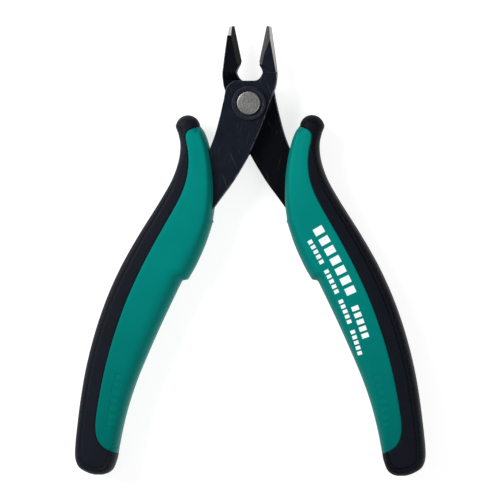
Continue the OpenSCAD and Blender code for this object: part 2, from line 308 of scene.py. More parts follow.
class Sheet:
    """The nodes of one finish."""

    MIX_MASK, MIX_LOW, MIX_HIGH, MIX_RESULT = 0, 6, 7, 2

    def __init__(self, name: str) -> None:
        """Starts an empty material with one shader.

        Args:
            name: The material's name.
        """
        self.material = bpy.data.materials.new(name)
        self.material.use_nodes = True
        self.tree = self.material.node_tree
        self.tree.nodes.clear()
        self.shader = self.tree.nodes.new("ShaderNodeBsdfPrincipled")
        output = self.tree.nodes.new("ShaderNodeOutputMaterial")
        self.tree.links.new(self.shader.outputs[0], output.inputs["Surface"])

    def node(
        self,
        kind: str,
        settings: Optional[Mapping[str, Any]] = None,
        inputs: Optional[Mapping[Union[int, str], Input]] = None,
        output: Union[int, str] = 0,
    ) -> Shade:
        """Adds a node.

        Args:
            kind: The node's type.
            settings: The node's own properties, such as a Math node's operation.
            inputs: A value or a link for each socket that is named.
            output: The socket that goes on.

        Returns:
            That output.
        """
        made = self.tree.nodes.new(kind)
        for name, value in (settings or {}).items():
            setattr(made, name, value)
        for socket, value in (inputs or {}).items():
            self.feed(made.inputs[socket], value)
        return Shade(self, made.outputs[output])

    def feed(self, socket: bpy.types.NodeSocket, value: Input) -> None:
        """Gives a socket a link or a plain value.

        Args:
            socket: The socket.
            value: A shade to link to it, or its own value.
        """
        if isinstance(value, Shade):
            self.tree.links.new(value.socket, socket)
        else:
            socket.default_value = value

    def place(self) -> Shade:
        """Position on the piece, in metres in the model's frame at rest."""
        return self.node("ShaderNodeTexCoord", output="Object")

    def vector(self, operation: str, first: Shade, second: Vector, output: str = "Vector") -> Shade:
        """A Vector Math node on two vectors."""
        inputs = {0: first, 1: tuple(second)}
        return self.node("ShaderNodeVectorMath", {"operation": operation}, inputs, output)

    def facing(self, direction: Vector) -> Shade:
        """How far the surface faces a direction, from -1 to 1."""
        normal = self.node("ShaderNodeTexCoord", output="Normal")
        return self.vector("DOT_PRODUCT", normal, direction, "Value")

    def along(self, direction: Vector) -> Shade:
        """Distance from the rivet's centre along a direction, in millimetres."""
        toward = self.vector("SUBTRACT", self.place(), HINGE.centre)
        return self.vector("DOT_PRODUCT", toward, direction / MM, "Value")

    def noise(
        self,
        size: float,
        detail: float = 3,
        roughness: float = 0.55,
        stretch: Sequence[float] = (1, 1, 1),
        turn: float = 0.0,
    ) -> Shade:
        """Cloudy noise from 0 to 1.

        Args:
            size: The size of its blotches, in millimetres.
            detail: Octaves of finer noise.
            roughness: How strong they are.
            stretch: Squeeze of the noise along each axis.
            turn: Degrees that those axes are turned about z.

        Returns:
            The noise.
        """
        turned = self.node(
            "ShaderNodeMapping",
            inputs={"Vector": self.place(), "Rotation": (0, 0, math.radians(turn))},
        )
        squeezed = self.node("ShaderNodeMapping", inputs={"Vector": turned, "Scale": tuple(stretch)})
        return self.node(
            "ShaderNodeTexNoise",
            inputs={"Vector": squeezed, "Scale": 1 / (size * MM), "Detail": detail, "Roughness": roughness},
        )

    def mix(self, mask: Input, low: Input, high: Input) -> Shade:
        """A colour between two, by a mask."""
        inputs = {self.MIX_MASK: mask, self.MIX_LOW: low, self.MIX_HIGH: high}
        return self.node("ShaderNodeMix", {"data_type": "RGBA"}, inputs, self.MIX_RESULT)

    def bump(self, height: Shade, depth: float, under: Optional[Shade] = None) -> Shade:
        """A normal from a height.

        Args:
            height: Height from 0 to 1.
            depth: The height of 1, in millimetres.
            under: A normal that this one adds to.

        Returns:
            The normal.
        """
        inputs: dict[Union[int, str], Input] = {"Height": height, "Distance": depth * MM, "Strength": 1.0}
        if under is not None:
            inputs["Normal"] = under
        return self.node("ShaderNodeBump", inputs=inputs)

    def finish(self, **sockets: Input) -> bpy.types.Material:
        """Feeds the shader.

        Args:
            **sockets: A value or a link for each of its sockets, named with _ for spaces.

        Returns:
            The finished material.
        """
        for name, value in sockets.items():
            self.feed(self.shader.inputs[name.replace("_", " ")], value)
        return self.material


def grey(level: float, warmth: float = 0.0) -> Colour:
    """A linear grey; warmth above 0 leans to red and below 0 to blue."""
    return (level * (1 + warmth), level, level * (1 - warmth), 1)


def shaded(colour: Colour, factor: float) -> Colour:
    """A colour made lighter or darker by a factor."""
    return (colour[0] * factor, colour[1] * factor, colour[2] * factor, 1)


class Ground(Enum):
    """How a flat was left by the grinder: its grey level, its roughness and how metallic it looks."""

    FRONT_EDGE = (0.022, 0.5, 1.0)
    FRONT_FACE = (0.028, 0.5, 1.0)
    FRONT_WALL = (0.34, 0.4, 1.0)
    REAR_EDGE = (0.006, 0.6, 0.0)
    REAR_WALL = (0.42, 0.4, 1.0)


@dataclass(frozen=True)
class Facet:
    """A ground flat on a lever, known by the way it faces."""

    normal: Vector
    ground: Ground


@dataclass(frozen=True)
class Scratches:
    """Fine scratches that run one way: width in millimetres, rarity from 0 to 1 and turn in degrees."""

    width: float
    rarity: float
    turn: float


@dataclass(frozen=True)
class BlackOxide:
    """Blackened steel: faintly mottled, lighter on its chamfers as wear and as a painted highlight, with
    ground facets left bare.

    Sizes are in millimetres. A range of tilts is of how far the surface faces up or down, from 0 to 1.
    """

    name: str
    base: Colour = (0.0036, 0.0055, 0.0114, 1)
    # the colour of wear, also used as the painted highlight of the chamfers
    worn_and_highlight: Colour = (0.085, 0.086, 0.095, 1)
    facets: tuple[Facet, ...] = ()
    shine: float = 0.12
    cloud_size: float = 3.2
    cloud_gain: float = 1.5
    cloud_depth: float = 0.03
    grain_size: float = 0.35
    grain_gain: float = 2.6
    grain_depth: float = 0.012
    roughness: float = 0.5
    metallic: float = 0.1
    chamfer_tilts: Point = (0.3, 0.95)
    step_tilts: Point = (0.76, 0.84)
    step_slants: Point = (0.54, 0.66)
    rub_and_highlight_size: float = 0.8
    scratches: tuple[Scratches, Scratches] = (Scratches(0.7, 0.69, 14), Scratches(0.8, 0.7, -22))
    scratch_stretch: tuple[float, float, float] = (1.6, 0.07, 1)
    scratch_strength: float = 0.3
    facet_match: float = 0.986
    streak_size: float = 0.22
    streak_stretch: tuple[float, float, float] = (1, 1, 0.1)
    streak_range: Point = (0.72, 1.2)
    coolness: float = -0.02

    def rubbed_and_highlight(self, s: Sheet) -> Shade:
        """Where the chamfers are rubbed and carry a painted highlight; the coined steps beside the rivet keep
        their black.

        Args:
            s: The finish's nodes.

        Returns:
            The mask.
        """
        tilt, slant = abs(s.facing(UP)), abs(s.facing(TIPWARD))
        step = tilt.between(*self.step_tilts, 0.01) * slant.between(*self.step_slants, 0.01)
        patches = s.noise(self.rub_and_highlight_size, detail=4, roughness=0.7).above(0.5, 0.12)
        return tilt.between(*self.chamfer_tilts, 0.05) * patches * (1 - step)

    def scratched(self, s: Sheet) -> Shade:
        """Where fine scratches cross the surface.

        Args:
            s: The finish's nodes.

        Returns:
            The mask.
        """
        first, second = (
            s.noise(lines.width, 2, 0.5, self.scratch_stretch, lines.turn).above(lines.rarity, 0.02)
            for lines in self.scratches
        )
        return first + second

    def material(self) -> bpy.types.Material:
        """Builds the finish.

        Returns:
            The material.
        """
        s = Sheet(self.name)
        cloud, grain = s.noise(self.cloud_size, detail=4), s.noise(self.grain_size)
        colour = s.mix(cloud.above(0.5, 0.2), self.base, shaded(self.base, self.cloud_gain))
        colour = s.mix(grain.above(0.62, 0.08) * 0.5, colour, shaded(self.base, self.grain_gain))
        rubbed_and_highlight = self.rubbed_and_highlight(s)
        # partly wear and partly painted highlight: the sloping chamfers get a lighter colour that stands for
        # the light they catch as well as for rubbing
        colour = s.mix(rubbed_and_highlight, colour, self.worn_and_highlight)
        colour = s.mix(self.scratched(s) * self.scratch_strength, colour, self.worn_and_highlight)
        metallic = self.metallic + rubbed_and_highlight * 0.4
        rough = self.roughness + (grain - 0.5) * 0.25 - rubbed_and_highlight * 0.1
        for facet in self.facets:
            level, roughness, metal = facet.ground.value
            mask = s.facing(facet.normal).above(self.facet_match, 0.004)
            streak = s.noise(self.streak_size, detail=2, roughness=0.6, stretch=self.streak_stretch)
            dark, light = (grey(level * gain, self.coolness) for gain in self.streak_range)
            colour = s.mix(mask, colour, s.mix(streak, dark, light))
            metallic = metallic * (1 - mask) + mask * metal
            rough = rough * (1 - mask) + mask * roughness
        return s.finish(
            Base_Color=colour,
            Metallic=metallic,
            Roughness=rough,
            Normal=s.bump(grain, self.grain_depth, s.bump(cloud, self.cloud_depth)),
            Specular_IOR_Level=self.shine,
        )


@dataclass(frozen=True)
class BareSteel:
    """Bare steel with a speckled skin, as on a tumbled rivet or a drawn wire; sizes in millimetres."""

    name: str
    level: float = 0.3
    speckle: float = 0.28
    speckle_depth: float = 0.03
    roughness: float = 0.42
    metallic: float = 0.75
    cloud_size: float = 2.2
    speckle_range: Point = (0.5, 1.35)
    cloud_gain: float = 0.7

    def material(self) -> bpy.types.Material:
        """Builds the finish.

        Returns:
            The material.
        """
        s = Sheet(self.name)
        speck, cloud = s.noise(self.speckle, detail=4, roughness=0.7), s.noise(self.cloud_size)
        dark, light = (self.level * gain for gain in self.speckle_range)
        colour = s.mix(speck.above(0.5, 0.16), grey(dark, 0.01), grey(light))
        colour = s.mix(cloud.above(0.55, 0.2) * 0.35, colour, grey(self.level * self.cloud_gain, 0.03))
        return s.finish(
            Base_Color=colour,
            Metallic=self.metallic + cloud * 0.2,
            Roughness=self.roughness + (speck - 0.5) * 0.3,
            Normal=s.bump(speck, self.speckle_depth),
        )


class Print(Enum):
    """What is printed on a grip's flat panel."""

    NONE = "plain"
    BARS = "bars"


@dataclass(frozen=True)
class PrintRow:
    """A row of plain blocks that follows the grip, in groups; lengths in millimetres.

    A group's length is from one group's start to the next one's, and the gap is what it leaves empty.
    """

    start: float
    end: float
    middle: float
    height: float
    pitch: float
    group: float
    block: float = 0.66
    gap: float = 0.0


@dataclass(frozen=True)
class GreenPlastic:
    """Hard green plastic with a fine matt moulding texture, and plain white printed blocks on one grip.

    Sizes are in millimetres. The colour is a factor darker low down on the grip, as painted shade of the
    light falling off, and darker on its rounded sides and in its moulded recess, as painted shade too.
    """

    name: str
    printed: Print = Print.NONE
    base: Colour = (0.0008, 0.215, 0.188, 1)
    ink: Colour = (0.9, 0.96, 0.96, 1)
    scuffed: Colour = (0.03, 0.3, 0.27, 1)
    tint: Colour = (0.1, 1, 0.95, 1)
    shine: float = 0.12
    lower_painted_shade: float = 0.47
    lower_shade_from: float = 75
    lower_shade_blur: float = 50
    rounded_painted_shade: float = 0.624
    roughness: float = 0.5
    grain_size: float = 0.16
    grain_shade: float = 0.7
    grain_depth: float = 0.012
    cloud_size: float = 14
    cloud_range: Point = (0.86, 1.12)
    scuff_size: float = 0.6
    scuff_stretch: tuple[float, float, float] = (0.3, 2, 1)
    sunk_painted_shade: float = 0.78
    sunk_depth: float = 12
    ink_height: float = 0.8
    ink_wear_size: float = 0.4
    edge_blur: float = 0.05
    row_blur: float = 0.06
    rows: tuple[PrintRow, ...] = (
        PrintRow(29.5, 51.5, 3.9, 2.8, 3.15, 50),
        PrintRow(31.5, 69.6, 7.5, 1.3, 1.6, 9.6, gap=1.85),
        PrintRow(54, 64.2, 4.6, 2.0, 2.05, 50),
    )
    moulded: PrintRow = PrintRow(74.5, 90.5, 4.3, 2.3, 2.3, 50)

    def blocks(self, s: Sheet, row: PrintRow) -> Shade:
        """The mask of one row of blocks.

        Args:
            s: The finish's nodes.
            row: The row.

        Returns:
            The mask.
        """
        place = s.node("ShaderNodeUVMap", {"uv_map": "grip"})
        along = s.node("ShaderNodeSeparateXYZ", inputs={0: place}, output="X") * MAP_MM
        across = s.node("ShaderNodeSeparateXYZ", inputs={0: place}, output="Y") * MAP_MM
        strip = along.between(row.start, row.end, self.edge_blur)
        strip = strip * abs(across - row.middle).below(row.height / 2, self.row_blur)
        in_group = (along - row.start) % row.group
        blocks = (in_group % row.pitch).below(row.pitch * row.block, self.edge_blur)
        return strip * blocks * in_group.below(row.group - row.gap, self.edge_blur)

    def material(self) -> bpy.types.Material:
        """Builds the finish.

        Returns:
            The material.
        """
        s = Sheet(self.name)
        grain, cloud = s.noise(self.grain_size, roughness=0.6), s.noise(self.cloud_size)
        colour = s.mix(cloud, *(shaded(self.base, gain) for gain in self.cloud_range))
        colour = s.mix(grain.above(0.6, 0.1) * 0.25, colour, shaded(self.base, self.grain_shade))
        # painted shade: the grip is painted darker towards its bottom, where the light falls off; the plastic
        # itself is the same all along
        lower_shade = s.along(-TIPWARD).above(self.lower_shade_from, self.lower_shade_blur)
        colour = s.mix(lower_shade, colour, shaded(self.base, self.lower_painted_shade))
        scuff = s.noise(self.scuff_size, roughness=0.6, stretch=self.scuff_stretch).above(0.72, 0.03)
        colour = s.mix(scuff * 0.15, colour, self.scuffed)
        # painted shade: the rounded sides, which turn away from the light, are painted darker
        rounded = s.facing(UP).below(0.88, 0.1)
        colour = s.mix(rounded * (1 - lower_shade) * 0.7, colour, shaded(self.base, self.rounded_painted_shade))
        top = s.facing(UP).above(0.3, 0.1)
        # painted shade: the moulded recess is painted darker, as the shade that falls in it; its depth comes
        # from the bump
        sunk = self.blocks(s, self.moulded) * top
        colour = s.mix(sunk * 0.5, colour, shaded(self.base, self.sunk_painted_shade))
        height = grain - sunk * self.sunk_depth
        if self.printed is Print.BARS:
            ink = self.blocks(s, self.rows[0])
            for row in self.rows[1:]:
                ink = ink + self.blocks(s, row)
            ink = ink * s.noise(self.ink_wear_size, detail=4, roughness=0.7).above(0.34, 0.06) * top
            colour = s.mix(ink, colour, self.ink)
            height = height + ink * self.ink_height
        return s.finish(
            Base_Color=colour,
            Roughness=self.roughness + (grain - 0.5) * 0.2 + (cloud - 0.5) * 0.12,
            Normal=s.bump(height, self.grain_depth),
            Specular_IOR_Level=self.shine,
            Specular_Tint=self.tint,
        )


@dataclass(frozen=True)
class BlackRubber:
    """Soft black rubber, satin, painted darker on its rounded sides as painted shade, with a lighter speckle
    there that is partly dust and partly painted sheen; sizes in millimetres.
    """

    name: str
    base: Colour = (0.0055, 0.0066, 0.0115, 1)
    shine: float = 0.08
    rounded_painted_shade: float = 0.8
    roughness: float = 0.58
    grain_size: float = 0.2
    grain_depth: float = 0.014
    cloud_size: float = 5
    cloud_gain: float = 1.5
    dust_and_sheen_size: float = 0.45
    dust_and_sheen_gain: float = 3.2

    def material(self) -> bpy.types.Material:
        """Builds the finish.

        Returns:
            The material.
        """
        s = Sheet(self.name)
        grain, cloud = s.noise(self.grain_size, roughness=0.6), s.noise(self.cloud_size, detail=4)
        colour = s.mix(cloud, self.base, shaded(self.base, self.cloud_gain))
        # painted shade: the rubber's rounded sides are painted darker where they turn away from the light
        rounded = s.facing(UP).below(0.93, 0.1)
        colour = s.mix(rounded, colour, shaded(self.base, self.rounded_painted_shade))
        # partly dust and partly painted sheen: the sloping sides get a lighter speckle that stands for the
        # grey sheen the bevel catches
        side = s.facing(UP).between(0.2, 0.9, 0.15)
        dust_and_sheen = s.noise(self.dust_and_sheen_size, detail=4, roughness=0.75).above(0.56, 0.1) * (0.1 + side * 0.6)
        colour = s.mix(dust_and_sheen, colour, shaded(self.base, self.dust_and_sheen_gain))
        return s.finish(
            Base_Color=colour,
            Roughness=self.roughness + (grain - 0.5) * 0.2 + (cloud - 0.5) * 0.1,
            Normal=s.bump(grain, self.grain_depth),
            Specular_IOR_Level=self.shine,
        )


# ---------------------------------------------------------------- meshes


def piece(name: str, vertices: np.ndarray, faces: Sequence[Sequence[int]]) -> bpy.types.Object:
    """A smooth-shaded piece with its doubled points joined and its faces turned outwards.

    Args:
        name: The piece's name.
        vertices: Rows of x, y and z in metres.
        faces: The corners of each face.

    Returns:
        The piece, in the scene.
    """
    mesh = bpy.data.meshes.new(name)
    mesh.from_pydata([tuple(v) for v in vertices], [], faces)
    solid = bmesh.new()
    solid.from_mesh(mesh)
    bmesh.ops.remove_doubles(solid, verts=solid.verts, dist=JOINED)
    bmesh.ops.dissolve_degenerate(solid, edges=solid.edges, dist=COLLAPSED)
    bmesh.ops.recalc_face_normals(solid, faces=solid.faces)
    for face in solid.faces:
        face.smooth = True
    solid.to_mesh(mesh)
    solid.free()
    made = bpy.data.objects.new(name, mesh)
    bpy.context.scene.collection.objects.link(made)
    return made


def ring_faces(rings: int, sides: int, closed: bool) -> list[tuple[int, ...]]:
    """The four-cornered faces between rings of points that follow each other.

    Args:
        rings: How many rings there are.
        sides: How many points each ring has.
        closed: True where the last ring meets the first.

    Returns:
        The faces.
    """
    faces = []
    for i in range(rings if closed else rings - 1):
        near, far = i * sides, (i + 1) % rings * sides
        faces += [(near + k, near + (k + 1) % sides, far + (k + 1) % sides, far + k) for k in range(sides)]
    return faces


def lathe(name: str, profile: Sequence[Point], front: bool, turns: int = 96) -> bpy.types.Object:
    """A piece turned about the rivet's axis.

    Args:
        name: The piece's name.
        profile: Radius and height above the rivet's centre along a closed outline, in millimetres.
        front: False for a piece that faces the back.
        turns: Steps round the axis.

    Returns:
        The piece.
    """
    side = 1 if front else -1
    angles = np.linspace(0, 2 * math.pi, turns, endpoint=False)
    rings = [(r * math.cos(a), r * math.sin(a), side * z) for a in angles for r, z in profile]
    faces = ring_faces(turns, len(profile), True)
    return piece(name, np.array(rings) * MM + np.array(HINGE.centre), faces)


def sharp_by_angle(made: bpy.types.Object, degrees: float) -> None:
    """Keeps the edges sharp where faces meet at more than an angle."""
    made.data.set_sharp_from_angle(angle=math.radians(degrees))


def dress(made: bpy.types.Object, material: bpy.types.Material, slot: str, body: str, *nodes: str) -> None:
    """Gives a piece its finish and its body, and hides the nodes that it stands for.

    Args:
        made: The piece.
        material: Its finish.
        slot: The slot of the record that the finish belongs to; not used.
        body: The body that it moves with.
        *nodes: The nodes that it stands for.
    """
    made.data.materials.clear()
    made.data.materials.append(material)
    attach(made, body)
    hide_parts(*nodes)


# ---------------------------------------------------------------- the tool's pieces


@dataclass(frozen=True)
class Lever:
    """A steel lever, from its model's solid with its outer corners broken.

    Lengths are in millimetres and angles in degrees. The limits on a face's tilt are of how far it faces
    up or down, from 0 to 1.
    """

    side: Side
    chamfer: float = 0.17
    coined_step: float = 0.25
    flat_area: float = 0.6
    same_point: float = 0.001
    same_plane: float = 0.4
    sharp_from: float = 24.0
    upright: float = 0.1
    steep: float = 0.5
    level: float = 0.7
    edge_start: float = 11.5
    edge_band: float = 0.15
    tip_start: float = 21.3
    plate: float = 3.0
    edge_bevel: float = 22.0
    face_fall: float = 0.62
    face_line: tuple[Point, Point] = ((0.8, 11.6), (1.85, 17.65))
    front_wall: tuple[Point, Point] = ((5.03, 10.9), (0.63, 21.9))
    rear_wall: tuple[Point, Point] = ((1.7, 18.9), (-1.3, 21.9))
    front_lean: float = 0.85
    rear_lean: float = 2.4
    # painted shade: the rear lever's finish is a darker, less shiny copy of the front one, since that lever
    # lies in shade
    rear_painted_shade: float = 0.28
    rear_shine: float = 0.075

    def facets(self) -> tuple[Facet, ...]:
        """The ground flats of this lever's jaw.

        Returns:
            Each flat, by the way it faces at rest.
        """
        lean = math.radians(self.edge_bevel)
        if self.side is Side.RIGHT:
            turn = Matrix.Rotation(HINGE.swing, 3, "Z")
            edge = Vector((math.cos(lean), 0, math.sin(lean)))
            wall = self.wall_normal(self.rear_wall, self.rear_lean)
            return (
                Facet(turn @ edge, Ground.REAR_EDGE),
                Facet(turn @ Vector((-wall.x, wall.y, wall.z)), Ground.REAR_WALL),
            )
        turn = HINGE.turn(Side.LEFT)
        edge = Vector((-math.cos(lean), 0, math.sin(lean)))
        start, end = (Vector((*p, 0)) for p in self.face_line)
        run = (end - start).normalized()
        face = Vector((-run.y * self.face_fall, run.x * self.face_fall, 1)).normalized()
        return (
            Facet(turn @ edge, Ground.FRONT_EDGE),
            Facet(turn @ face, Ground.FRONT_FACE),
            Facet(turn @ self.wall_normal(self.front_wall, self.front_lean), Ground.FRONT_WALL),
        )

    def wall_normal(self, line: tuple[Point, Point], lean: float) -> Vector:
        """The way a tip's ground outer wall faces in the closed tool.

        Args:
            line: The wall's two ends on the upper face.
            lean: How far the wall runs out over the plate's thickness.

        Returns:
            The wall's normal.
        """
        low, high = line
        run = Vector((high[0] - low[0], high[1] - low[1], 0)).normalized()
        return Vector((run.y, -run.x, lean / self.plate)).normalized()

    def chamfered(self, edge: bmesh.types.BMEdge) -> bool:
        """Whether an edge is an outer corner that is broken; ground flats and coined steps stay sharp.

        Args:
            edge: The edge.

        Returns:
            True if it gets a chamfer.
        """
        if len(edge.link_faces) != 2 or not edge.is_convex:
            return False
        least, most = sorted(abs(face.normal.z) for face in edge.link_faces)
        if least > self.upright or most < self.level:
            return False
        for face in {face for corner in edge.verts for face in corner.link_faces}:
            heights = [v.co.z for v in face.verts]
            if abs(face.normal.z) < self.steep and max(heights) - min(heights) < self.coined_step * MM:
                return False
        middle = (edge.verts[0].co + edge.verts[1].co) / 2
        x, y, _ = HINGE.draw(np.array([middle]), self.side)[0]
        on_cutting_edge = abs(x) < self.edge_band and y > self.edge_start
        return y < self.tip_start and not on_cutting_edge

    def build(self) -> list[bpy.types.Object]:
        """Makes and dresses the lever.

        Returns:
            The lever.
        """
        node = self.side.lever
        solid = bmesh.new()
        solid.from_mesh(frame["nodes"][node].data)
        bmesh.ops.remove_doubles(solid, verts=solid.verts, dist=self.same_point * MM)
        bmesh.ops.dissolve_limit(
            solid,
            angle_limit=math.radians(self.same_plane),
            verts=solid.verts,
            edges=solid.edges,
            use_dissolve_boundaries=False,
        )
        bmesh.ops.bevel(
            solid,
            geom=[edge for edge in solid.edges if self.chamfered(edge)],
            offset=self.chamfer * MM,
            segments=2,
            profile=0.5,
            affect="EDGES",
            clamp_overlap=False,
        )
        mesh = bpy.data.meshes.new(node + "_steel")
        solid.to_mesh(mesh)
        solid.free()
        made = bpy.data.objects.new(node + "_steel", mesh)
        bpy.context.scene.collection.objects.link(made)
        sharp_by_angle(made, self.sharp_from)
        for face in mesh.polygons:
            if abs(face.normal.z) > self.upright and face.area > self.flat_area * MM * MM:
                face.use_smooth = False
        finish = BlackOxide(f"black_oxide_{self.side.value}", facets=self.facets())
        # painted shade: the rear lever gets a darker, less shiny copy of the same black oxide, because it
        # lies in shade, not because its steel differs
        if self.side is Side.RIGHT:
            finish = replace(finish, base=shaded(finish.base, self.rear_painted_shade), shine=self.rear_shine)
        dress(made, finish.material(), "black_oxide_steel", self.side.body, node)
        return [made]


@dataclass(frozen=True)
class Pivot:
    """The rivet and its two washers, from the sizes of their solids; lengths in millimetres."""

    head_round: float = 0.35
    head_rise: float = 0.5
    head_overhang: float = 0.7
    dome: float = 0.06
    dome_rings: tuple[float, ...] = (0.02, 0.25, 0.5, 0.7, 0.82)
    rivet_sharp: float = 40.0
    rim: float = 0.55
    bevel: float = 0.12
    washer_width: float = 2.15
    dish: float = 0.2
    dish_slope: float = 0.35
    washer_sharp: float = 35.0
    washer_base: Colour = (0.009, 0.011, 0.016, 1)
    # the washer's colour of wear, also used as the painted highlight of its chamfers
    washer_worn_and_highlight: Colour = (0.04, 0.042, 0.05, 1)

    def rivet(self) -> bpy.types.Object:
        """Makes and dresses the rivet, with a shank between its two heads.

        Returns:
            The rivet.
        """
        low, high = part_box("pivot_rivet")
        head_r, top = (high.x - low.x) / 2 / MM, (high.z - low.z) / 2 / MM
        seat = (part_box("front_washer")[0].z - HINGE.centre.z) / MM + self.head_rise
        shank, r = head_r - self.head_overhang, self.head_round
        rim = [
            (head_r - r + r * math.sin(a), top - self.dome - r + r * math.cos(a))
            for a in np.radians(np.linspace(0, 90, 7))
        ]
        crown = [(head_r * t, top - self.dome * t * t) for t in self.dome_rings]
        half = crown + rim + [(head_r, seat), (shank, seat)]
        made = lathe("rivet", half + [(r, -z) for r, z in reversed(half)], True)
        sharp_by_angle(made, self.rivet_sharp)
        dress(made, BareSteel("speckled_steel").material(), "bare_steel", "front_half", "pivot_rivet")
        return made

    def washer(self, node: str, front: bool) -> bpy.types.Object:
        """Makes and dresses one dished washer with a raised, rounded rim.

        Args:
            node: The washer's node.
            front: False for the one at the back.

        Returns:
            The washer.
        """
        low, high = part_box(node)
        outer = (high.x - low.x) / 2 / MM
        bottom, top = sorted(abs(z - HINGE.centre.z) / MM for z in (low.z, high.z))
        inner, seat = outer - self.washer_width, top - self.dish
        b, rim = self.bevel, self.rim
        profile = [
            (inner, bottom), (outer - b, bottom), (outer, bottom + b), (outer, top - b * 1.6),
            (outer - b * 0.5, top - b * 0.5), (outer - b * 1.6, top), (outer - rim, top),
            (outer - rim - b, top - b * 0.4), (outer - rim - self.dish_slope, seat), (inner, seat),
        ]
        made = lathe(node + "_ring", profile, front)
        sharp_by_angle(made, self.washer_sharp)
        finish = BlackOxide(node + "_oxide", base=self.washer_base, worn_and_highlight=self.washer_worn_and_highlight)
        dress(made, finish.material(), "washer_steel", "front_half", node)
        return made

    def build(self) -> list[bpy.types.Object]:
        """Makes the three pieces, from the rivet to the washer at the back."""
        return [self.rivet(), self.washer("front_washer", True), self.washer("rear_washer", False)]


Station = tuple[float, float, float, float]  # x, y, z and the angle round the rivet


@dataclass(frozen=True)
class ReturnSpring:
    """The torsion spring inside the lap joint: a coil round the rivet with a straight leg in each lever.

    Lengths are in millimetres and angles in degrees.
    """

    wire: float = 0.75
    coil_radius: float = 3.475
    coil_turn: float = 540.0
    leg: float = 7.0
    leg_lean: float = 26.0
    leg_height: float = 0.6475
    sides: int = 12
    steps: int = 90

    def path(self) -> list[Station]:
        """The wire's middle line, from the end of one leg round the coil to the end of the other.

        Returns:
            The places along it.
        """
        swing = math.degrees(HINGE.swing)
        start = math.radians(180 + self.leg_lean - swing)
        turn = math.radians(self.coil_turn + 2 * (self.leg_lean - swing))
        coil = []
        for k in range(self.steps + 1):
            angle = start - turn * k / self.steps
            height = self.leg_height * (1 - 2 * k / self.steps)
            x, y = self.coil_radius * math.cos(angle), self.coil_radius * math.sin(angle)
            coil.append((x, y, height, angle))
        return [self.leg_end(coil[0], -1), *coil, self.leg_end(coil[-1], 1)]

    def leg_end(self, coil_end: Station, way: int) -> Station:
        """The far end of the straight leg that leaves the coil at one of its ends."""
        x, y, z, angle = coil_end
        return (x + way * math.sin(angle) * self.leg, y - way * math.cos(angle) * self.leg, z, angle)

    def build(self) -> list[bpy.types.Object]:
        """Makes and dresses the spring.

        Returns:
            The spring.
        """
        path = self.path()
        radius = self.wire / 2
        rings = [
            (
                x + radius * math.cos(a) * math.cos(t),
                y + radius * math.sin(a) * math.cos(t),
                z + radius * math.sin(t),
            )
            for x, y, z, a in path
            for t in np.linspace(0, 2 * math.pi, self.sides, endpoint=False)
        ]
        faces = ring_faces(len(path), self.sides, False)
        faces += [tuple(range(self.sides)), tuple(range(len(rings) - self.sides, len(rings)))]
        made = piece("spring_wire", np.array(rings) * MM + np.array(HINGE.centre), faces)
        made.data.materials.append(BareSteel("drawn_wire", level=0.4, speckle=0.15, roughness=0.3).material())
        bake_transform(made)
        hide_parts("return_spring")
        return [made]


Keys = tuple[tuple[Point, Point], ...]


class Edge(Enum):
    """Which edge of a grip a piece reaches from the seam."""

    INNER = "inner"
    OUTER = "outer"


